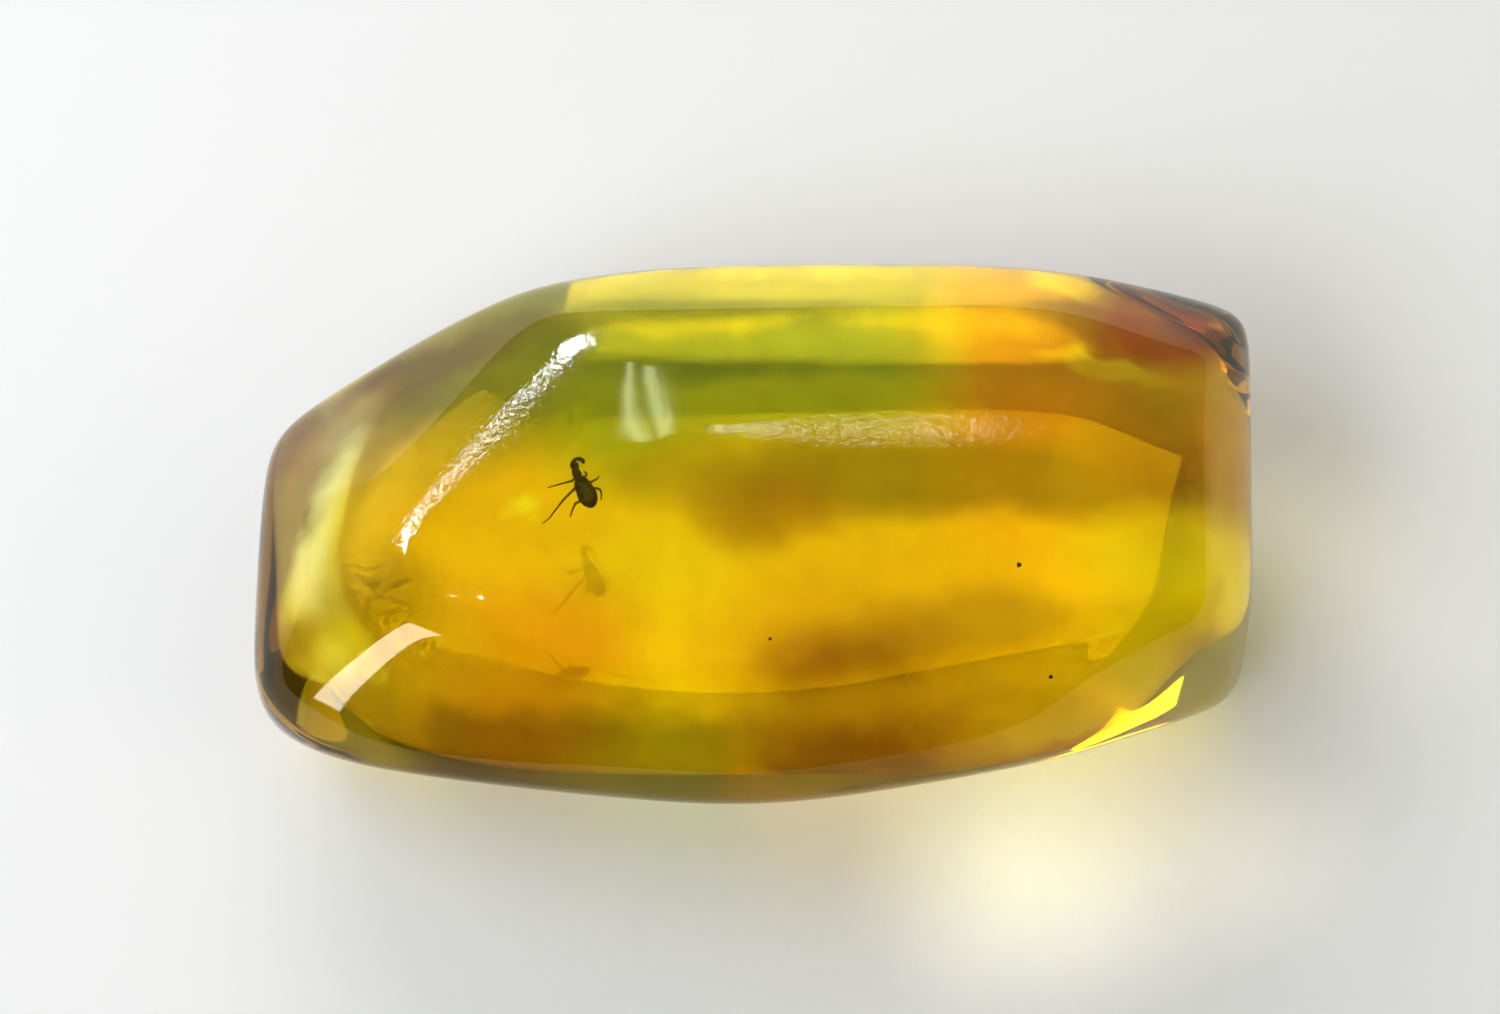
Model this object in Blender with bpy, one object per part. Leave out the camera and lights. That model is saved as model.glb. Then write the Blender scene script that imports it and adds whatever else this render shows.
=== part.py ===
"""Insect in amber: a polished amber pebble, lying flat, with one tiny insect sealed in it.

The pebble was ground on a wheel, so it is a bundle of flat-ish facets whose ridges are polished
round. Each facet is a plane; the surface is where the planes' pressures, which grow outwards,
add up to one, and that blends neighbouring facets smoothly. The pebble is parted in two at the
insect's depth, round a pocket that holds it.

Metres, +Z up, +X along the pebble. The origin is the bottom centre, on the flat it lies on.
"""
import math

import bmesh
import bpy
import numpy as np
from mathutils import Matrix, Vector

MM = 0.001

# ------------------------------------------------------------------ driving dimensions (mm)
CORE = (-0.07, 0.16, 3.8)          # the point that the facets are measured from
GRID_CELLS = (34, 20, 12)          # cells along the length, the width and the height
GRID_BOX = (24.0, 13.6, 7.6)       # the gridded block that is rounded into the pebble
REST_ROUND = 0.35                  # how high the resting flat curls up into the belly

# facet: azimuth (0 = +X, 90 = +Y), elevation, distance from the core (mm), crispness (1/mm)
FACETS = {
    "table":             (-90, 89, 3.70, 4.0),
    "table_back":        (91, 83, 3.82, 4.0),
    "back_bevel":        (91, 50, 5.17, 4.0),
    "back":              (90, 0, 6.76, 2.5),
    "back_left":         (107, 4, 7.42, 2.5),
    "left_back":         (121, 2, 8.62, 2.5),
    "back_right":        (76, 4, 8.35, 2.5),
    "left_bevel":        (139, 52, 6.35, 4.0),
    "left_end":          (182, 48, 8.50, 3.0),
    "left":              (179, 0, 12.03, 2.5),
    "front_left_bevel":  (246, 42, 7.10, 4.0),
    "front_left_corner": (230, 0, 11.10, 2.5),
    "front_left":        (264, 38, 6.40, 3.5),
    "front_right":       (281, 38, 6.33, 3.5),
    "under_front_left":  (264, -25, 6.40, 3.5),
    "under_front_right": (280, -25, 6.37, 3.5),
    "right":             (-2, 2, 12.00, 3.0),
    "right_bevel":       (0, 42, 9.95, 3.5),
    "right_back":        (68, 50, 6.85, 5.0),
    "right_front":       (306, 10, 9.45, 2.5),
    "bottom":            (0, -90, 4.60, 3.0),
    "belly_back":        (90, -75, 4.45, 4.0),
    "belly_front":       (-90, -68, 4.90, 2.5),
    "belly_left":        (180, -68, 7.05, 2.5),
    "belly_front_left":  (212, -68, 6.95, 3.0),
    "belly_right":       (0, -74, 6.45, 2.5),
    "belly_corner":      (60, -45, 8.25, 4.0),
}

PART_HEIGHT = 5.0                  # height of the plane that parts the pebble
PART_GAP = 0.3                     # clear space between the two halves
POCKET_AT = (-4.47, 0.14, 5.0)     # centre of the pocket round the insect
POCKET_RADII = (1.60, 1.60, 0.85)

INSECT_AT = (-4.05, 0.30, 5.0)     # middle of the abdomen
INSECT_HEADING = 24.0              # degrees that the head end turns from +Y towards -X

# blobs of the body: centre (right, forward, up) and radii, in the insect's own axes (mm)
BODY = {
    "abdomen_rear":  ((0.00, -0.06, 0.00), (0.235, 0.36, 0.20)),
    "abdomen_front": ((-0.01, 0.12, 0.00), (0.205, 0.32, 0.18)),
    "thorax":        ((-0.02, 0.50, 0.01), (0.110, 0.19, 0.12)),
    "head":          ((0.01, 0.71, 0.00), (0.105, 0.13, 0.10)),
}
# limbs: points (right, forward, up) with the limb's radius there (mm)
LIMBS = {
    "antenna_right": [(0.02, 0.76, 0.03, 0.030), (0.06, 0.83, 0.05, 0.036), (0.13, 0.85, 0.05, 0.042),
                      (0.20, 0.82, 0.04, 0.050), (0.245, 0.75, 0.02, 0.052), (0.235, 0.68, 0.00, 0.036)],
    "antenna_left":  [(-0.02, 0.76, 0.00, 0.028), (0.00, 0.84, -0.04, 0.034), (0.08, 0.88, -0.06, 0.040),
                      (0.15, 0.86, -0.07, 0.046), (0.20, 0.80, -0.08, 0.034)],
    "leg_left_front": [(-0.06, 0.44, -0.04, 0.034), (-0.20, 0.40, -0.03, 0.030), (-0.42, 0.43, -0.02, 0.022),
                       (-0.62, 0.47, -0.08, 0.017), (-0.77, 0.50, -0.15, 0.014)],
    "leg_left_mid":  [(-0.10, 0.24, -0.06, 0.036), (-0.30, 0.15, 0.02, 0.034), (-0.54, 0.05, 0.02, 0.028),
                      (-0.79, -0.08, -0.04, 0.022), (-1.06, -0.235, -0.10, 0.016), (-1.24, -0.27, -0.14, 0.014)],
    "leg_left_hind": [(-0.10, -0.06, -0.08, 0.038), (-0.23, -0.14, -0.06, 0.036), (-0.34, -0.155, -0.02, 0.032),
                      (-0.42, -0.22, -0.06, 0.025), (-0.50, -0.30, -0.12, 0.020), (-0.57, -0.38, -0.18, 0.015)],
    "leg_right_front": [(0.04, 0.40, -0.04, 0.034), (0.15, 0.38, -0.06, 0.032), (0.21, 0.44, -0.10, 0.024),
                        (0.17, 0.53, -0.16, 0.016)],
    "leg_right_mid": [(0.10, 0.20, -0.06, 0.036), (0.24, 0.19, -0.02, 0.032), (0.37, 0.20, -0.02, 0.024),
                      (0.45, 0.26, -0.10, 0.016)],
    "leg_right_hind": [(0.12, 0.02, -0.08, 0.038), (0.27, 0.01, -0.08, 0.034), (0.345, -0.07, -0.10, 0.028),
                       (0.32, -0.18, -0.16, 0.020), (0.26, -0.28, -0.20, 0.015)],
}

AMBER_COLOUR = (0.80, 0.47, 0.02, 1.0)
INSECT_COLOUR = (0.055, 0.040, 0.012, 1.0)


# ------------------------------------------------------------------ scene, collections, materials
def clear_scene():
    for thing in list(bpy.data.objects):
        bpy.data.objects.remove(thing, do_unlink=True)


def new_collection(name):
    collection = bpy.data.collections.new(name)
    bpy.context.scene.collection.children.link(collection)
    return collection


def surface_material(name, colour, roughness, transmission=0.0):
    material = bpy.data.materials.new(name)
    material.use_nodes = True
    shader = material.node_tree.nodes["Principled BSDF"]
    shader.inputs["Base Color"].default_value = colour
    shader.inputs["Roughness"].default_value = roughness
    shader.inputs["Metallic"].default_value = 0.0
    shader.inputs["Transmission Weight"].default_value = transmission
    shader.inputs["IOR"].default_value = 1.54
    material.diffuse_color = colour
    return material


def object_from_bmesh(name, bm, collection):
    mesh = bpy.data.meshes.new(name)
    bmesh.ops.recalc_face_normals(bm, faces=bm.faces)
    bm.to_mesh(mesh)
    bm.free()
    thing = bpy.data.objects.new(name, mesh)
    collection.objects.link(thing)
    return thing


# ------------------------------------------------------------------ the pebble
def facet_planes():
    """Outward normals, distances and crispness of every facet, as arrays."""
    normals = []
    for azimuth, elevation, _, _ in FACETS.values():
        a = math.radians(azimuth)
        e = math.radians(elevation)
        normals.append((math.cos(a) * math.cos(e), math.sin(a) * math.cos(e), math.sin(e)))
    distances = [facet[2] for facet in FACETS.values()]
    crispness = [facet[3] for facet in FACETS.values()]
    return np.array(normals), np.array(distances), np.array(crispness)


def pebble_points(directions):
    """Where rays from the core leave the pebble, found by halving the interval."""
    normals, distances, crispness = facet_planes()
    slopes = directions @ normals.T
    near = np.zeros(len(directions))
    far = np.full(len(directions), 30.0)
    for _ in range(40):
        reach = (near + far) / 2
        pressure = np.exp(np.clip(crispness * (slopes * reach[:, None] - distances), -60, 60)).sum(axis=1)
        near = np.where(pressure < 1, reach, near)
        far = np.where(pressure < 1, far, reach)
    points = np.array(CORE) + directions * ((near + far) / 2)[:, None]
    height = points[:, 2]
    curl = (height + REST_ROUND) ** 2 / (4 * REST_ROUND)
    points[:, 2] = np.where(height > REST_ROUND, height, np.where(height < -REST_ROUND, 0.0, curl))
    return points


def gridded_block():
    """A block whose faces are cut into a grid, one axis at a time."""
    bm = bmesh.new()
    bmesh.ops.create_cube(bm, size=1.0, matrix=Matrix.Diagonal((*GRID_BOX, 1.0)))
    for axis, cells in enumerate(GRID_CELLS):
        along = []
        for edge in bm.edges:
            run = edge.verts[1].co - edge.verts[0].co
            if abs(run[axis]) > 0.99 * run.length:
                along.append(edge)
        bmesh.ops.subdivide_edges(bm, edges=along, cuts=cells - 1, use_grid_fill=True)
    return bm


def whole_pebble():
    bm = gridded_block()
    bm.verts.ensure_lookup_table()
    directions = np.array([v.co[:] for v in bm.verts])
    directions /= np.linalg.norm(directions, axis=1)[:, None]
    for vert, point in zip(bm.verts, pebble_points(directions)):
        vert.co = Vector(point) * MM
    return bm


def half_pebble(name, height, upper, collection, pocket):
    """The pebble above or below a level plane, with the pocket cut from its parting face."""
    bm = whole_pebble()
    everything = bm.verts[:] + bm.edges[:] + bm.faces[:]
    bmesh.ops.bisect_plane(bm, geom=everything, plane_co=(0, 0, height * MM), plane_no=(0, 0, 1),
                           clear_inner=upper, clear_outer=not upper)
    rim = [edge for edge in bm.edges if edge.is_boundary]
    bmesh.ops.edgeloop_fill(bm, edges=rim)
    half = object_from_bmesh(name, bm, collection)
    cut = half.modifiers.new("pocket", "BOOLEAN")
    cut.operation = "DIFFERENCE"
    cut.solver = "EXACT"
    cut.object = pocket
    half.data.shade_smooth()
    half.data.set_sharp_from_angle(angle=math.radians(40))
    return half


def pocket_cutter(collection):
    bm = bmesh.new()
    bmesh.ops.create_icosphere(bm, subdivisions=3, radius=1.0)
    radii = [radius * MM for radius in POCKET_RADII]
    bmesh.ops.scale(bm, vec=radii, verts=bm.verts)
    cutter = object_from_bmesh("pocket_cutter", bm, collection)
    cutter.location = Vector(POCKET_AT) * MM
    cutter.hide_render = True
    cutter.display_type = "WIRE"
    return cutter


# ------------------------------------------------------------------ the insect
def blob(name, centre, radii, collection):
    """An ellipsoid of the body, its poles along the body's length."""
    bm = bmesh.new()
    bmesh.ops.create_uvsphere(bm, u_segments=18, v_segments=12, radius=1.0)
    bmesh.ops.rotate(bm, verts=bm.verts, matrix=Matrix.Rotation(math.radians(90), 3, "X"))
    bmesh.ops.scale(bm, vec=[radius * MM for radius in radii], verts=bm.verts)
    bmesh.ops.translate(bm, vec=Vector(centre) * MM, verts=bm.verts)
    return object_from_bmesh(name, bm, collection)


def limb(name, points, collection):
    """A tapering, jointed limb: a bevelled curve turned into a closed mesh."""
    curve = bpy.data.curves.new(name, "CURVE")
    curve.dimensions = "3D"
    curve.bevel_depth = 1.0 * MM
    curve.bevel_resolution = 1
    curve.use_fill_caps = True
    spline = curve.splines.new("POLY")
    spline.points.add(len(points) - 1)
    for target, (right, forward, up, radius) in zip(spline.points, points):
        target.co = (right * MM, forward * MM, up * MM, 1.0)
        target.radius = radius
    guide = bpy.data.objects.new(name + "_curve", curve)
    collection.objects.link(guide)
    graph = bpy.context.evaluated_depsgraph_get()
    mesh = bpy.data.meshes.new_from_object(guide.evaluated_get(graph))
    bpy.data.objects.remove(guide, do_unlink=True)
    bm = bmesh.new()
    bm.from_mesh(mesh)
    bmesh.ops.remove_doubles(bm, verts=bm.verts, dist=0.000001)
    bpy.data.meshes.remove(mesh)
    return object_from_bmesh(name, bm, collection)


def fuse(target, tool):
    """Join one shape to another as a single skin, then drop the second shape."""
    union = target.modifiers.new("fuse", "BOOLEAN")
    union.operation = "UNION"
    union.solver = "EXACT"
    union.object = tool
    graph = bpy.context.evaluated_depsgraph_get()
    joined = bpy.data.meshes.new_from_object(target.evaluated_get(graph))
    target.modifiers.clear()
    worn = target.data
    target.data = joined
    bpy.data.meshes.remove(worn)
    bpy.data.objects.remove(tool, do_unlink=True)


def build_insect(collection):
    insect = None
    for name, (centre, radii) in BODY.items():
        shape = blob(name, centre, radii, collection)
        if insect is None:
            insect = shape
        else:
            fuse(insect, shape)
    for name, points in LIMBS.items():
        fuse(insect, limb(name, points, collection))
    insect.name = "insect"
    insect.data.name = "insect"
    insect.location = Vector(INSECT_AT) * MM
    insect.rotation_euler = (0.0, 0.0, math.radians(INSECT_HEADING))
    insect.data.shade_smooth()
    insect.data.set_sharp_from_angle(angle=math.radians(60))
    return insect


# ------------------------------------------------------------------ the whole object
def main():
    clear_scene()
    specimen = new_collection("insect_in_amber")
    cutters = new_collection("cutters")
    amber = surface_material("amber", AMBER_COLOUR, 0.04, transmission=1.0)
    chitin = surface_material("insect_body", INSECT_COLOUR, 0.45)

    pocket = pocket_cutter(cutters)
    upper = half_pebble("amber_upper", PART_HEIGHT + PART_GAP / 2, True, specimen, pocket)
    lower = half_pebble("amber_lower", PART_HEIGHT - PART_GAP / 2, False, specimen, pocket)
    insect = build_insect(specimen)

    for half in (upper, lower):
        half.data.materials.append(amber)
    insect.data.materials.clear()
    insect.data.materials.append(chitin)


main()
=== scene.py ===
# %% [markdown]
# # Insect in amber
#
# The object is a lump of fossil resin that somebody ground on a wheel into a pebble with soft
# facets, and then polished until a tiny insect inside could be seen. Almost all of its look is
# light that goes in at the top, crosses ten millimetres of honey-coloured resin, meets the
# pale table, and comes back out. So the lesson has three parts: the right outer shape, because
# the underside works as a set of mirrors and lenses; the resin, which drinks blue light; and a
# few lamps, which decide what those mirrors see.

# %% Load the frame
import math

import bmesh
import bpy
import numpy as np
from mathutils import Matrix, Vector


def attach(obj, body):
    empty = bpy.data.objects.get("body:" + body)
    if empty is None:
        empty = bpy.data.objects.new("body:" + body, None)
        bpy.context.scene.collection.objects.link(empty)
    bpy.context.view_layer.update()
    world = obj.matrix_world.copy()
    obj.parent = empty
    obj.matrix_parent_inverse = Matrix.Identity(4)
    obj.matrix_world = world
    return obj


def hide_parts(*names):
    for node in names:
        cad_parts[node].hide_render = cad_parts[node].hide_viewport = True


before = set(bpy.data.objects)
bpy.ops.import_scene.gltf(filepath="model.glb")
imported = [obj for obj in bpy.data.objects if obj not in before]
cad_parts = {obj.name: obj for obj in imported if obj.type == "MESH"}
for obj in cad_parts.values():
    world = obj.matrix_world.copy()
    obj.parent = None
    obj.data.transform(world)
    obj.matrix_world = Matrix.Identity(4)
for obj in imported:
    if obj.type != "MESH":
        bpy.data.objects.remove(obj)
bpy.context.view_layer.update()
print("nodes:", list(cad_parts))

MM = 0.001

# %% [markdown]
# ## The pebble
#
# A pebble off a grinding wheel is a bundle of flats with rounded ridges. It could be sculpted by
# hand, or bevelled from a cube, but both leave ripples, and ripples show at once in clear resin.
# Here each flat is a plane with a crispness. Outside a plane its pressure grows, and the surface
# is where the pressures of all the planes add up to one, which blends every ridge smoothly. The
# solid model is built from the same planes, with a coarser grid.

# %% Facets of the pebble
CORE = np.array((-0.07, 0.16, 3.8))     # the point the facets are measured from (mm)
REST_ROUND = 0.35                        # how high the resting flat curls up into the belly

# facet: azimuth (0 = +X, 90 = +Y), elevation, distance from the core (mm), crispness (1/mm)
FACETS = {
    "table":             (-90, 89, 3.70, 4.0),
    "table_back":        (91, 83, 3.82, 4.0),
    "back_bevel":        (91, 50, 5.17, 4.0),
    "back":              (90, 0, 6.76, 2.5),
    "back_left":         (107, 4, 7.42, 2.5),
    "left_back":         (121, 2, 8.62, 2.5),
    "back_right":        (76, 4, 8.35, 2.5),
    "left_bevel":        (139, 52, 6.35, 4.0),
    "left_end":          (182, 48, 8.50, 3.0),
    "left":              (179, 0, 12.03, 2.5),
    "front_left_bevel":  (246, 42, 7.10, 4.0),
    "front_left_corner": (230, 0, 11.10, 2.5),
    "front_left":        (264, 38, 6.40, 3.5),
    "front_right":       (281, 38, 6.33, 3.5),
    "under_front_left":  (264, -25, 6.40, 3.5),
    "under_front_right": (280, -25, 6.37, 3.5),
    "right":             (-2, 2, 12.00, 3.0),
    "right_bevel":       (0, 42, 9.95, 3.5),
    "right_back":        (68, 50, 6.85, 5.0),
    "right_front":       (306, 10, 9.45, 2.5),
    "bottom":            (0, -90, 4.60, 3.0),
    "belly_back":        (90, -75, 4.45, 4.0),
    "belly_front":       (-90, -68, 4.90, 2.5),
    "belly_left":        (180, -68, 7.05, 2.5),
    "belly_front_left":  (212, -68, 6.95, 3.0),
    "belly_right":       (0, -74, 6.45, 2.5),
    "belly_corner":      (60, -45, 8.25, 4.0),
}


# %% Where a ray from the core leaves the pebble
HALVINGS = 30
LONGEST_RAY = 30.0                       # mm, past the farthest corner


def facet_planes():
    azimuth, elevation, distance, crispness = np.array(list(FACETS.values()), dtype=float).T
    azimuth, elevation = np.radians(azimuth), np.radians(elevation)
    normals = np.stack((np.cos(azimuth) * np.cos(elevation),
                        np.sin(azimuth) * np.cos(elevation),
                        np.sin(elevation)), axis=1)
    return normals, distance, crispness


def pebble_points(directions):
    """Halve the interval until the summed pressure is one."""
    normals, distance, crispness = facet_planes()
    slopes = directions @ normals.T
    near = np.zeros(len(directions))
    far = np.full(len(directions), LONGEST_RAY)
    for _ in range(HALVINGS):
        reach = (near + far) / 2
        push = np.clip(crispness * (slopes * reach[:, None] - distance), -60, 60)
        inside = np.exp(push).sum(axis=1) < 1
        near = np.where(inside, reach, near)
        far = np.where(inside, far, reach)
    points = CORE + directions * ((near + far) / 2)[:, None]
    height = points[:, 2]
    curl = (height + REST_ROUND) ** 2 / (4 * REST_ROUND)
    points[:, 2] = np.where(height > REST_ROUND, height, np.where(height < -REST_ROUND, 0.0, curl))
    return points


axes = np.vstack((np.eye(3), -np.eye(3)))
reaches = np.linalg.norm(pebble_points(axes) - CORE, axis=1)
print("facets:", len(FACETS), "- reach from the core along the axes (mm):", reaches.round(2))


# %% [markdown]
# ## One clear piece for both halves
#
# The solid model parts the pebble in two round a pocket, because the insect needs a place to
# sit. Real resin has no gap, and a gap would show as a silver sheet, so one closed piece with a
# fine grid stands for both halves. The grid comes from a cube whose edges are cut along each
# axis; every corner of it is then pushed out along its own ray.

# %% Build the clear piece
GRID_CELLS = (176, 102, 58)              # along the length, the width and the height
GRID_BOX = np.array((24.0, 13.6, 7.6))


def finished(name, bm, smooth=True):
    """Turn a bmesh into an object that sits at the origin."""
    mesh = bpy.data.meshes.new(name)
    bmesh.ops.recalc_face_normals(bm, faces=bm.faces)
    bm.to_mesh(mesh)
    bm.free()
    if smooth:
        mesh.shade_smooth()
    piece = bpy.data.objects.new(name, mesh)
    bpy.context.scene.collection.objects.link(piece)
    return piece


def gridded_cube(cells):
    bm = bmesh.new()
    bmesh.ops.create_cube(bm, size=2.0)
    for axis, count in enumerate(cells):
        along = [edge for edge in bm.edges
                 if abs(edge.verts[0].co[axis] - edge.verts[1].co[axis]) > 1.5]
        bmesh.ops.subdivide_edges(bm, edges=along, cuts=count - 1, use_grid_fill=True)
    return bm


block = gridded_cube(GRID_CELLS)
amber = finished("amber_pebble", block)
corners = np.empty(len(amber.data.vertices) * 3)
amber.data.vertices.foreach_get("co", corners)
rays = corners.reshape(-1, 3) * GRID_BOX
rays /= np.linalg.norm(rays, axis=1)[:, None]
amber.data.vertices.foreach_set("co", (pebble_points(rays) * MM).ravel())
amber.data.update()
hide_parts("amber_lower", "amber_upper")
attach(amber, "root")
print("amber_pebble:", len(amber.data.polygons), "faces,",
      [round(1000 * side, 2) for side in amber.dimensions], "mm")

# %% [markdown]
# ## A small language for shaders
#
# A pattern is easier to read as a sum than as a web of boxes. The class below wraps a socket, so
# that +, - and * on it add Math nodes, and `node` makes any other node from its type, its
# settings and its sockets.

# %% The shader language
class Wire:
    """An output socket that can be used in sums."""

    def __init__(self, recipe, socket):
        self.recipe = recipe
        self.socket = socket

    def math(self, operation, other):
        return self.recipe.node("ShaderNodeMath", {"operation": operation}, {0: self, 1: other})

    def __add__(self, other):
        return self.math("ADD", other)

    def __sub__(self, other):
        return self.math("SUBTRACT", other)

    def __mul__(self, other):
        return self.math("MULTIPLY", other)

    def __rsub__(self, other):
        return self * -1.0 + other

    __radd__ = __add__
    __rmul__ = __mul__

    def step(self, low, high):
        """A soft step from 0 at low to 1 at high."""
        values = {"Value": self, "From Min": low, "From Max": high}
        return self.recipe.node("ShaderNodeMapRange", {"interpolation_type": "SMOOTHSTEP"}, values)


class Recipe:
    """The node tree of a material or a world."""

    def __init__(self, owner):
        owner.use_nodes = True
        self.tree = owner.node_tree

    def node(self, kind, settings, values, output=0):
        made = self.tree.nodes.new(kind)
        for key, value in settings.items():
            setattr(made, key, value)
        for key, value in values.items():
            self.feed(made.inputs[key], value)
        return Wire(self, made.outputs[output])

    def feed(self, socket, value):
        if isinstance(value, Wire):
            self.tree.links.new(value.socket, socket)
        else:
            socket.default_value = value

    def vector(self, operation, first, second):
        return self.node("ShaderNodeVectorMath", {"operation": operation}, {0: first, 1: second})

    def split(self, vector):
        made = self.node("ShaderNodeSeparateXYZ", {}, {0: vector}).socket.node
        return [Wire(self, socket) for socket in made.outputs]

    def colour_mix(self, share, first, second, blend="MIX"):
        settings = {"data_type": "RGBA", "blend_type": blend}
        values = {"Factor": share, "A": first, "B": second}
        return self.node("ShaderNodeMix", settings, values, "Result")

    def noise(self, vector, scale, detail, output="Fac"):
        values = {"Vector": vector, "Scale": scale, "Detail": detail}
        return self.node("ShaderNodeTexNoise", {}, values, output)


def new_finish(name, flat):
    material = bpy.data.materials.new(name)
    material.diffuse_color = flat
    recipe = Recipe(material)
    return material, recipe, recipe.tree.nodes["Principled BSDF"]


# %% [markdown]
# ## Amber
#
# Amber is clear, but it drinks blue light strongly and green light a little, so it turns from
# lemon where it is thin to orange and brown where light crosses it twice. A dark paint on the
# surface would be as deep at a thin edge as in the middle, so the drinking is done by the volume,
# where it is the same everywhere. What the surface adds comes after it: the runs of resin together
# with painted light and shade, and the polish.

# %% Clear resin
AMBER_IOR = 1.54
ABSORB_COLOUR = (0.992, 0.967, 0.65, 1.0)
ABSORB_DENSITY = 600.0                   # per metre; the first 1/600 m leaves about this colour
SHINE_TINT = (1.0, 0.80, 0.40, 1.0)      # warm, so the pale table doesn't grey the bevels
POLISHED = 0.03                          # roughness

material, recipe, shader = new_finish("amber_resin", (0.80, 0.47, 0.02, 1.0))
shader.inputs["Roughness"].default_value = POLISHED
shader.inputs["IOR"].default_value = AMBER_IOR
shader.inputs["Specular Tint"].default_value = SHINE_TINT
shader.inputs["Transmission Weight"].default_value = 1.0
drinking = {"Color": ABSORB_COLOUR, "Density": ABSORB_DENSITY}
absorb = recipe.node("ShaderNodeVolumeAbsorption", {}, drinking)
recipe.feed(recipe.tree.nodes["Material Output"].inputs["Volume"], absorb)
amber.data.materials.append(material)
print("resin: index", AMBER_IOR, "- absorbs at density", ABSORB_DENSITY)

# %% [markdown]
# ## Runs of resin and painted light
#
# The resin flowed down the tree in several runs, and each hardened with its own colour, greener or
# redder. Most ovals here, though, are painted light and shade that the resin shows from below:
# bright pools and a lit strip where the table shows through, dark bands and rims where the
# underside mirrors the dim room, and a painted glint. A noise alone would scatter them evenly, so
# each is an oval of its own, laid down in turn like thin washes of paint. A slow noise bends their
# edges, and a finer one mottles them. The ovals lean back with height, by the slope of the camera's
# line of sight inside the resin, so that a mark painted on the top lies over the same mark on the
# underside, as if it lay in the depth of the stone.

# %% Soft ovals
LEAN = 0.227                             # how far the painted ovals lean back, per millimetre of height, along the camera's slope in the resin
LEAN_FROM = 3.5                          # height above the core where they don't (mm)
FAR = 1000.0                             # an oval is a column: its third radius is endless


def oval(recipe, point, centre, radii, turn, soft):
    """1 inside a turned oval, 0 outside, with a soft edge; sizes in mm."""
    settings = {"vector_type": "TEXTURE"}
    values = {"Vector": point, "Location": centre + (0.0,),
              "Rotation": (0.0, 0.0, math.radians(turn)), "Scale": radii + (FAR,)}
    local = recipe.node("ShaderNodeMapping", settings, values)
    reach = recipe.node("ShaderNodeVectorMath", {"operation": "LENGTH"}, {0: local}, "Value")
    return 1.0 - reach.step(1.0 - soft, 1.0 + soft)


# %% Where the runs and the painted light and shade lie
HONEY = (0.92, 0.73, 0.05, 1.0)          # the resin's own colour, between the ovals
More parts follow.
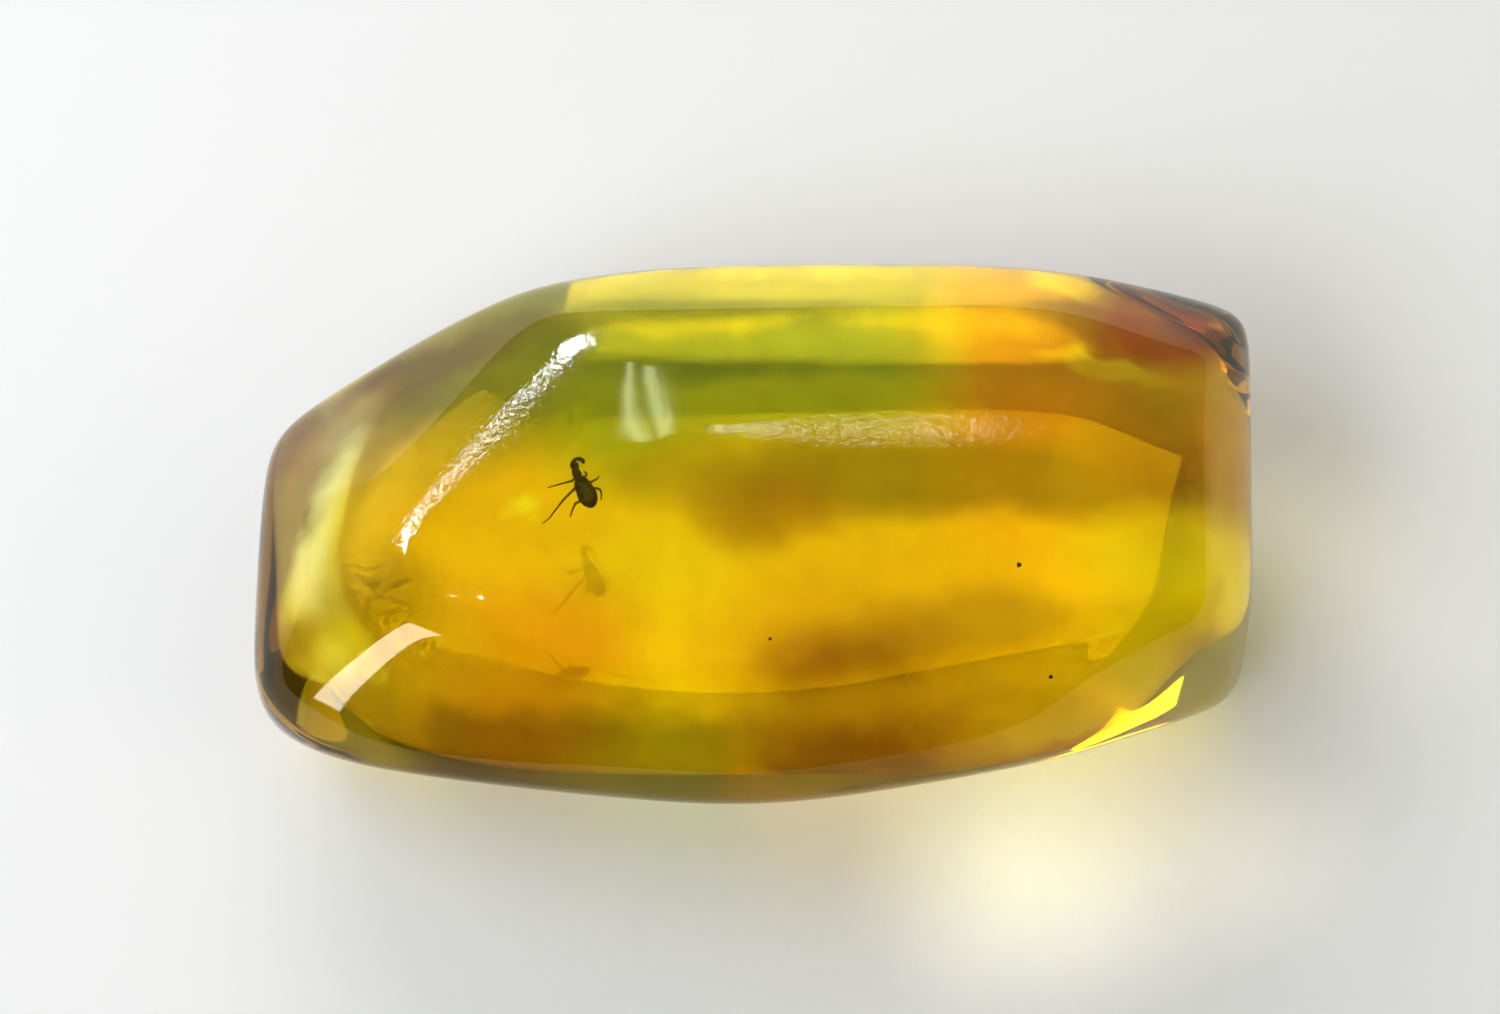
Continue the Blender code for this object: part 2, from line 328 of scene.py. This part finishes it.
# oval: centre (x, y), radii (mm), turn (degrees), softness, colour, strength
# Painted light: bright_heart, pale_back, pale_left, right_edge, corner_rim and glint lighten the
# resin where the lit table or a glint shows through. Painted shade: the dark band across the
# middle, front_band, dark_front_left, left_edge, back_left_edge, ridge_shade, ridge_orange,
# corner_shade, corner_stripe, red_corner and red_corner_deep darken it where the underside mirrors
# the dim room. The greens, oranges and olives set the tone from place to place, partly as the
# resin's own colour and partly as painted shade and reflection.
RUNS_AND_PAINTED_LIGHT = {
    "green_back_left":   ((-5.6, 2.4), (3.4, 1.5), 28, 0.5, (0.46, 0.50, 0.32), 0.95),
    "green_middle":      ((-3.0, 1.9), (2.0, 1.8), 0, 0.6, (0.42, 0.53, 0.12), 0.90),
    "green_back":        ((1.2, 2.3), (3.8, 1.5), 0, 0.5, (0.50, 0.60, 0.10), 0.90),
    "ridge_shade":       ((-0.2, 3.3), (5.8, 0.75), 0, 0.5, (0.25, 0.35, 0.10), 0.92),
    "ridge_orange":      ((7.2, 3.3), (2.2, 0.75), 0, 0.5, (0.45, 0.25, 0.03), 0.90),
    # painted shade: a dark band across the middle of the stone
    "dark_band_middle":         ((4.6, 0.0), (6.8, 1.0), 0, 0.45, (0.42, 0.35, 0.04), 0.92),
    "orange_back_right": ((6.8, 2.2), (2.4, 1.3), 0, 0.6, (0.68, 0.41, 0.03), 0.90),
    "orange_right":      ((9.4, 1.0), (1.4, 1.2), 0, 0.6, (0.50, 0.36, 0.03), 0.85),
    "yellow_right":      ((9.3, -1.7), (1.9, 1.2), 0, 0.6, (0.80, 0.82, 0.10), 0.85),
    "corner_shade":      ((5.6, -3.6), (2.6, 0.7), 0, 0.6, (0.62, 0.48, 0.04), 0.80),
    "olive_right":       ((8.8, -4.0), (2.9, 1.0), 6, 0.6, (0.48, 0.43, 0.05), 0.85),
    "brown_front":       ((2.5, -4.9), (2.4, 1.3), 6, 0.6, (0.33, 0.18, 0.02), 0.95),
    "bright_heart":      ((-2.1, -2.6), (2.2, 1.5), 20, 0.7, (0.94, 0.84, 0.06), 0.98),
    "orange_middle":     ((0.4, -0.7), (1.6, 0.9), 0, 0.6, (0.48, 0.31, 0.04), 0.85),
    "orange_left":       ((-5.0, -4.2), (2.0, 1.5), 10, 0.6, (0.76, 0.47, 0.03), 0.90),
    "honey_left":        ((-7.3, -4.2), (1.3, 1.2), 0, 0.6, (0.62, 0.45, 0.06), 0.90),
    "olive_left":        ((-8.4, -3.0), (1.1, 1.2), 20, 0.6, (0.44, 0.36, 0.05), 0.90),
    "front_band":        ((-0.8, -7.4), (8.6, 1.75), 0, 0.3, (0.28, 0.165, 0.04), 0.95),
    "dark_front_left":   ((-6.0, -6.3), (2.4, 0.8), -5, 0.6, (0.13, 0.07, 0.03), 0.90),
    "amber_front":       ((3.4, -6.2), (2.2, 0.9), 0, 0.6, (0.66, 0.40, 0.03), 0.90),
    "green_front":       ((-2.1, -6.7), (1.9, 1.3), 0, 0.6, (0.16, 0.20, 0.06), 0.85),
    "red_front":         ((1.8, -7.6), (2.2, 0.5), 0, 0.6, (0.70, 0.32, 0.05), 0.85),
    "left_corner":       ((-9.9, -6.0), (1.1, 1.0), 30, 0.6, (0.80, 0.62, 0.20), 0.85),
    "pale_left":         ((-9.8, -0.3), (1.2, 2.4), 0, 0.5, (1.00, 1.00, 1.00), 0.95),
    "left_edge":         ((-11.5, -0.7), (0.85, 4.3), -9, 0.5, (0.15, 0.06, 0.04), 0.92),
    "back_left_edge":    ((-8.8, 2.45), (3.6, 0.7), 27, 0.5, (0.25, 0.12, 0.08), 0.92),
    "pale_back":         ((0.6, 5.6), (8.2, 1.5), 0, 0.25, (1.00, 0.96, 0.10), 0.95),
    "right_edge":        ((11.6, -1.8), (0.8, 3.2), 0, 0.4, (1.00, 1.00, 0.40), 0.90),
    "red_corner":        ((9.7, 4.0), (2.2, 1.1), -17, 0.5, (0.38, 0.03, 0.00), 0.95),
    "red_corner_deep":   ((10.5, 4.0), (1.0, 0.5), -30, 0.5, (0.08, 0.00, 0.00), 0.90),
    "corner_rim":        ((8.3, 3.0), (1.4, 0.3), -17, 0.4, (1.00, 1.00, 0.05), 0.90),
    "corner_stripe":     ((8.8, -5.95), (2.8, 0.25), 17, 0.4, (0.70, 0.25, 0.02), 0.90),
    "glint":             ((-5.4, -0.8), (0.2, 0.4), -30, 0.5, (1.00, 1.00, 0.20), 0.90),
}

# %% Bend the ovals
DRIFT = (3.0, 2.2, 0.0)                  # span of the sway that the slow noise gives them (mm)

place = recipe.node("ShaderNodeTexCoord", {}, {}, "Object")
in_mm = recipe.node("ShaderNodeVectorMath", {"operation": "SCALE"}, {0: place, "Scale": 1000.0})
from_core = recipe.vector("SUBTRACT", in_mm, tuple(CORE))
east, north, up = recipe.split(from_core)
lean = (up - LEAN_FROM) * LEAN
leaning = recipe.node("ShaderNodeCombineXYZ", {}, {0: east, 1: north + lean, 2: 0.0})
drift = recipe.noise(in_mm, 0.30, 4.0, "Color")
drift = recipe.vector("SUBTRACT", drift, (0.5, 0.5, 0.5))
drift = recipe.vector("MULTIPLY", drift, DRIFT)
drifted = recipe.vector("ADD", leaning, drift)
print("sway of the ovals (mm):", DRIFT)

# %% Lay the runs and the painted light and shade over one another
MOTTLE = 0.22
MOTTLE_COLOUR = (0.72, 0.62, 0.40, 1.0)

tint = HONEY
for name, (centre, radii, turn, soft, colour, strength) in RUNS_AND_PAINTED_LIGHT.items():
    share = oval(recipe, drifted, centre, radii, turn, soft) * strength
    tint = recipe.colour_mix(share, tint, colour + (1.0,))
mottle = recipe.noise(drifted, 0.9, 4.0)
tint = recipe.colour_mix(mottle.step(0.40, 0.70) * MOTTLE, tint, MOTTLE_COLOUR, "MULTIPLY")
recipe.feed(shader.inputs["Base Color"], tint)
print("runs of resin:", len(RUNS_AND_PAINTED_LIGHT), "- nodes so far:", len(recipe.tree.nodes))

# %% [markdown]
# ## Polish
#
# A wheel never leaves a perfect mirror. Its felt drags waves across the facets, which bend every
# reflection a little, and it skips along the ridges and leaves them pitted, so that a highlight
# there sparkles. Both are far too fine for the mesh, so they are relief for a Bump node.

# %% Marks of the wheel
# pitted ridge: centre (x, y), radii (mm), turn (degrees), depth (mm)
RIDGES = (((-6.3, 1.0), (3.4, 0.55), 48, 0.020), ((3.6, 1.2), (3.8, 0.6), 0, 0.003))
RIDGE_SOFTNESS = 0.4
SCRATCH_DEPTH = 0.00012                  # mm, everywhere
WAVE_DEPTH = 0.003                       # mm, everywhere

ridges = 0.0
for centre, radii, turn, depth in RIDGES:
    ridges = oval(recipe, from_core, centre, radii, turn, RIDGE_SOFTNESS) * depth + ridges
pits = recipe.noise(in_mm, 7.0, 2.0)
waves = recipe.noise(in_mm, 0.55, 1.0)
relief = pits * (ridges + SCRATCH_DEPTH) + waves * WAVE_DEPTH
values = {"Height": relief, "Strength": 1.0, "Distance": MM}
polish = recipe.node("ShaderNodeBump", {}, values, "Normal")
recipe.feed(shader.inputs["Normal"], polish)
print("polish:", len(RIDGES), "pitted ridges")

# %% [markdown]
# ## The insect
#
# The insect is a little over a millimetre long and almost black. The solid model already has its
# abdomen, thorax, head, feelers and legs, so only a finish is missing. Plain black would look like
# a hole cut in the resin, so fine noise mixes a dark and a lighter brown, and the shell is kept
# rather matt, because resin wets it and takes its shine away.

# %% Insect finish
SHELL_DARK = (0.020, 0.014, 0.006, 1.0)
SHELL_LIGHT = (0.070, 0.045, 0.012, 1.0)

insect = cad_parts["insect"]
material, recipe, shader = new_finish("insect_chitin", (0.055, 0.040, 0.012, 1.0))
place = recipe.node("ShaderNodeTexCoord", {}, {}, "Object")
grain = recipe.noise(place, 9000.0, 3.0)
shell = recipe.colour_mix(grain.step(0.35, 0.65), SHELL_DARK, SHELL_LIGHT)
recipe.feed(shader.inputs["Base Color"], shell)
shader.inputs["Roughness"].default_value = 0.45
insect.data.materials.clear()
insect.data.materials.append(material)
print("insect:", len(insect.data.polygons), "faces")

# %% [markdown]
# ## Flecks
#
# Resin ran down bark, so it caught dust as well as the insect. Three crumbs lie just under the
# polished top. Each is a small ball whose corners are pulled in and out by a wave, which is
# enough for something a tenth of a millimetre across.

# %% Crumbs under the top
# crumb: place (x, y, z in mm), radius (mm)
CRUMBS = (((6.1, -1.9, 6.8), 0.060), ((0.3, -3.7, 6.8), 0.045), ((6.8, -4.4, 6.4), 0.050))
LUMPINESS = 0.3                          # share of the radius

crumbs = bmesh.new()
for place, radius in CRUMBS:
    ball = bmesh.ops.create_icosphere(crumbs, subdivisions=2, radius=radius * MM)
    for corner in ball["verts"]:
        wave = math.sin(60 * corner.co.x / MM) * math.cos(50 * corner.co.y / MM)
        lump = 1.0 + LUMPINESS * wave
        corner.co = corner.co * lump + Vector(place) * MM
flecks = finished("flecks", crumbs)
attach(flecks, "root")
flecks.data.materials.append(material)
print("flecks:", len(flecks.data.polygons), "faces")

# %% [markdown]
# ## The table
#
# Clear resin shows what lies under it, so the table is half of the stone's colour. It could be a
# large square, but a disc has no corner that a camera might catch. It lies a hair below the stone,
# so that the two faces never touch, and weak noise keeps it from being one dead grey.

# %% Pale board
TABLE_RADIUS = 0.45                      # metres, as far as the lamps reach
GAP = 0.05 * MM                          # under the stone

disc = bmesh.new()
bmesh.ops.create_circle(disc, cap_ends=True, segments=96, radius=TABLE_RADIUS,
                        matrix=Matrix.Translation((0.0, 0.0, -GAP)))
floor = finished("table_top", disc, smooth=False)
material, recipe, shader = new_finish("pale_board", (0.8, 0.8, 0.8, 1.0))
place = recipe.node("ShaderNodeTexCoord", {}, {}, "Object")
grain = recipe.noise(place, 60.0, 2.0)
pale = recipe.colour_mix(grain, (0.80, 0.80, 0.81, 1.0), (0.82, 0.82, 0.82, 1.0))
recipe.feed(shader.inputs["Base Color"], pale)
shader.inputs["Roughness"].default_value = 0.7
shader.inputs["Specular IOR Level"].default_value = 0.2
floor.data.materials.append(material)
print("table: radius", TABLE_RADIUS, "m")

# %% [markdown]
# ## Room and lamps
#
# Real windows could light the stone, but in clear resin each of them is met three times: as light
# on the table, as a glow seen through the resin, and as a highlight in the polish. To set these
# apart, each lamp here does one job. Its last word says which: "table", "inside" or "shine". The
# room itself is dim overhead, so the top stays deep in colour, and brighter low down behind. All
# light is turned down by a few stops and the camera's exposure gives it back, because the renderer
# clips bounced light that is very bright.

# %% The room
STOPS = 4.0
DIM = 2.0 ** -STOPS
OVERHEAD = 0.07                          # brightness of the room above
LOW_BEHIND = 0.25                        # what is added low down, behind the stone
BACKDROP = 0.72                          # what a camera sees past the table

world = bpy.data.worlds.new("soft_room")
bpy.context.scene.world = world
recipe = Recipe(world)
place = recipe.node("ShaderNodeTexCoord", {}, {}, "Generated")
east, north, up = recipe.split(place)
low = 1.0 - up.step(0.77, 0.91)
behind = (north * 0.9 - east * 0.15).step(-0.2, 0.65)
seen_directly = recipe.node("ShaderNodeLightPath", {}, {}, "Is Camera Ray")
room = (low * behind * LOW_BEHIND + OVERHEAD) * (1.0 - seen_directly) + seen_directly * BACKDROP
background = recipe.tree.nodes["Background"]
recipe.feed(background.inputs["Strength"], room * DIM)
background.inputs["Color"].default_value = (0.97, 0.98, 1.0, 1.0)
print("room:", len(recipe.tree.nodes), "nodes, dimmed by", STOPS, "stops")

# %% Put up a lamp
STONE_MIDDLE = Vector(CORE) * MM


def place_lamp(name, light, azimuth, elevation, distance, colour, seen):
    """Aim a lamp at the pebble; `seen` says which rays meet it."""
    light.color = colour
    lamp = bpy.data.objects.new(name, light)
    bpy.context.scene.collection.objects.link(lamp)
    azimuth, elevation = math.radians(azimuth), math.radians(elevation)
    direction = Vector((math.cos(azimuth) * math.cos(elevation),
                        math.sin(azimuth) * math.cos(elevation), math.sin(elevation)))
    lamp.location = STONE_MIDDLE + direction * distance
    lamp.rotation_euler = direction.to_track_quat("Z", "Y").to_euler()
    lamp.visible_camera = False
    lamp.visible_diffuse = "table" in seen
    lamp.visible_transmission = "inside" in seen
    lamp.visible_glossy = "shine" in seen
    return lamp


# %% Panels
# panel: azimuth, elevation (degrees), distance, width, height (m), brightness, colour, seen by
PANELS = {
    "cool_window": (165, 48, 0.10, 0.06, 0.06, 3.5, (0.84, 0.89, 1.0), "table"),
    "low_window":  (105, 20, 0.40, 0.30, 0.06, 19.0, (1.0, 0.96, 0.84), "table"),
    "front_fill":  (220, 40, 0.60, 0.40, 0.30, 5.0, (0.90, 0.94, 1.0), "table"),
    "right_fill":  (345, 35, 0.60, 0.30, 0.30, 1.3, (1.0, 0.95, 0.72), "table"),
    "low_east":    (24, 4, 0.60, 0.35, 0.14, 0.32, (1.0, 0.72, 0.40), "inside"),
    "high_panel":  (60, 78, 0.60, 0.45, 0.45, 8.0, (1.0, 1.0, 1.0), "inside"),
    "back_window": (114, 41, 0.60, 0.16, 0.07, 6.0, (1.0, 1.0, 1.0), "inside"),
    "ridge_top":   (104, 33, 0.60, 0.08, 0.16, 40.0, (1.0, 1.0, 1.0), "shine"),
    "ridge_run":   (118, 44, 0.60, 0.20, 0.05, 16.0, (1.0, 1.0, 0.98), "shine"),
    "ridge_end":   (136, 47, 0.60, 0.07, 0.12, 26.0, (1.0, 0.98, 0.90), "shine"),
    "back_shine":  (87.1, 62.3, 0.60, 0.045, 0.005, 10.5, (1.0, 0.98, 0.85), "shine"),
    "left_bar":    (94.4, 57.3, 0.60, 0.0020, 0.115, 9.5, (0.90, 1.0, 0.55), "shine"),
    "right_bar":   (93.5, 58.0, 0.60, 0.0022, 0.095, 9.5, (0.90, 1.0, 0.55), "shine"),
    "left_spark":  (136.5, 75.4, 0.60, 0.0040, 0.0050, 80.0, (1.0, 1.0, 0.95), "shine"),
    "right_spark": (117.4, 74.9, 0.60, 0.0034, 0.0040, 80.0, (1.0, 1.0, 0.95), "shine"),
    "wedge_shine": (227, 20, 0.60, 0.08, 0.34, 11.0, (1.0, 0.88, 0.62), "shine"),
}
for name, (azimuth, elevation, distance, width, height, brightness, colour, seen) in PANELS.items():
    light = bpy.data.lights.new(name, "AREA")
    light.shape = "RECTANGLE"
    light.size = width
    light.size_y = height
    light.energy = brightness * math.pi * width * height * DIM
    if seen == "shine":
        colour = [part / tinted for part, tinted in zip(colour, SHINE_TINT)]
    place_lamp(name, light, azimuth, elevation, distance, colour, seen)
print("panels:", len(PANELS))

# %% A wide soft sky
sky = bpy.data.lights.new("warm_sky", "SUN")
sky.energy = 0.47 * DIM
sky.angle = math.radians(120)
place_lamp("warm_sky", sky, 150, 75, 1.0, (1.0, 0.94, 0.62), "table")
print("sky:", round(sky.energy, 3), "W/m2")

# %% [markdown]
# ## Slits and glows
#
# A lump of clear resin gathers light into strips along its edges and into pools beside it. A path
# tracer can find such light only slowly, as noise, so small lamps stand in for it. A slit is a thin
# lamp with a narrow spread, close to the stone, that lays a strip of light under its lifted edge.
# A glow is a small soft spotlight that makes a pool on the table.

# %% Slits of light under the edges
SLIT_DISTANCE = 0.005                    # metres from where it lands
# slit: where it lands (x, y in mm), azimuth, elevation (degrees), width, thickness (mm),
# spread (degrees), power (W), colour
SLITS = {
    "slit_back":   ((2.2, 5.10), 90, 25, 13.0, 0.3, 2, 5.4e-5, (1.0, 0.75, 0.30)),
    "slit_left":   ((-8.8, 1.1), 180, 12, 4.6, 0.6, 6, 4.2e-5, (0.50, 0.66, 1.0)),
}
for name, ((x, y), azimuth, elevation, width, thickness, spread, power, colour) in SLITS.items():
    light = bpy.data.lights.new(name, "AREA")
    light.shape = "RECTANGLE"
    light.size = width * MM
    light.size_y = thickness * MM
    light.spread = math.radians(spread)
    light.energy = power * DIM
    lamp = place_lamp(name, light, azimuth, elevation, SLIT_DISTANCE, colour, "table")
    lamp.location += Vector((x, y, 0.0)) * MM - STONE_MIDDLE
print("slits:", len(SLITS))

# %% Pools of light on the table
GLOW_DISTANCE = 0.06                     # metres from where it lands
GLOW_LEAN = Vector((0.25, -0.35, 1.0)).normalized()
# glow: where it lands (x, y in mm), radius (mm), brightness
GLOWS = {
    "glow_front":  ((6.1, -7.6), 2.8, 0.76),
    "glow_middle": ((9.2, -6.8), 3.0, 0.40),
    "glow_corner": ((12.5, -6.6), 1.7, 0.38),
    "glow_right":  ((13.8, 0.8), 3.6, 0.24),
}
for name, ((x, y), radius, brightness) in GLOWS.items():
    light = bpy.data.lights.new(name, "SPOT")
    light.color = (1.0, 0.98, 0.60)
    light.spot_size = 2 * math.atan(radius * MM / GLOW_DISTANCE)
    light.spot_blend = 1.0
    light.shadow_soft_size = 0.002
    light.energy = brightness * (2 * math.pi * GLOW_DISTANCE) ** 2 * DIM
    lamp = bpy.data.objects.new(name, light)
    bpy.context.scene.collection.objects.link(lamp)
    lamp.location = Vector((x, y, 0.0)) * MM + GLOW_LEAN * GLOW_DISTANCE
    lamp.rotation_euler = GLOW_LEAN.to_track_quat("Z", "Y").to_euler()
    lamp.visible_camera = False
    lamp.visible_glossy = False
    lamp.visible_transmission = False
print("glows:", len(GLOWS))

# %% [markdown]
# ## Camera
#
# The camera looks down on the stone steeply from its long front side. A long lens keeps the far
# edge from shrinking. The Standard view shows colours as they are mixed, where a film-like view
# would wash the yellow out.

# %% Camera and picture
ELEVATION = math.radians(70.0)
LENS = 100.0                             # mm
SENSOR = 36.0                            # mm
PICTURE_WIDTH = 1500                     # pixels
PIXELS_PER_MM = 41.4
LEFT_OF_MIDDLE, BELOW_MIDDLE = 4, 22     # pixels by which the picture is shifted

camera_data = bpy.data.cameras.new("camera")
camera_data.lens = LENS
camera_data.sensor_width = SENSOR
camera_data.clip_start = 0.005
camera_data.shift_x = -LEFT_OF_MIDDLE / PICTURE_WIDTH
camera_data.shift_y = BELOW_MIDDLE / PICTURE_WIDTH
camera = bpy.data.objects.new("camera", camera_data)
bpy.context.scene.collection.objects.link(camera)
back = Vector((0.0, -math.cos(ELEVATION), math.sin(ELEVATION)))
away = LENS / SENSOR * PICTURE_WIDTH / PIXELS_PER_MM * MM
camera.location = STONE_MIDDLE + back * away
camera.rotation_euler = back.to_track_quat("Z", "Y").to_euler()
bpy.context.scene.camera = camera
bpy.context.scene.view_settings.view_transform = "Standard"
bpy.context.scene.view_settings.exposure = STOPS
print("camera:", round(away, 4), "m from the stone")
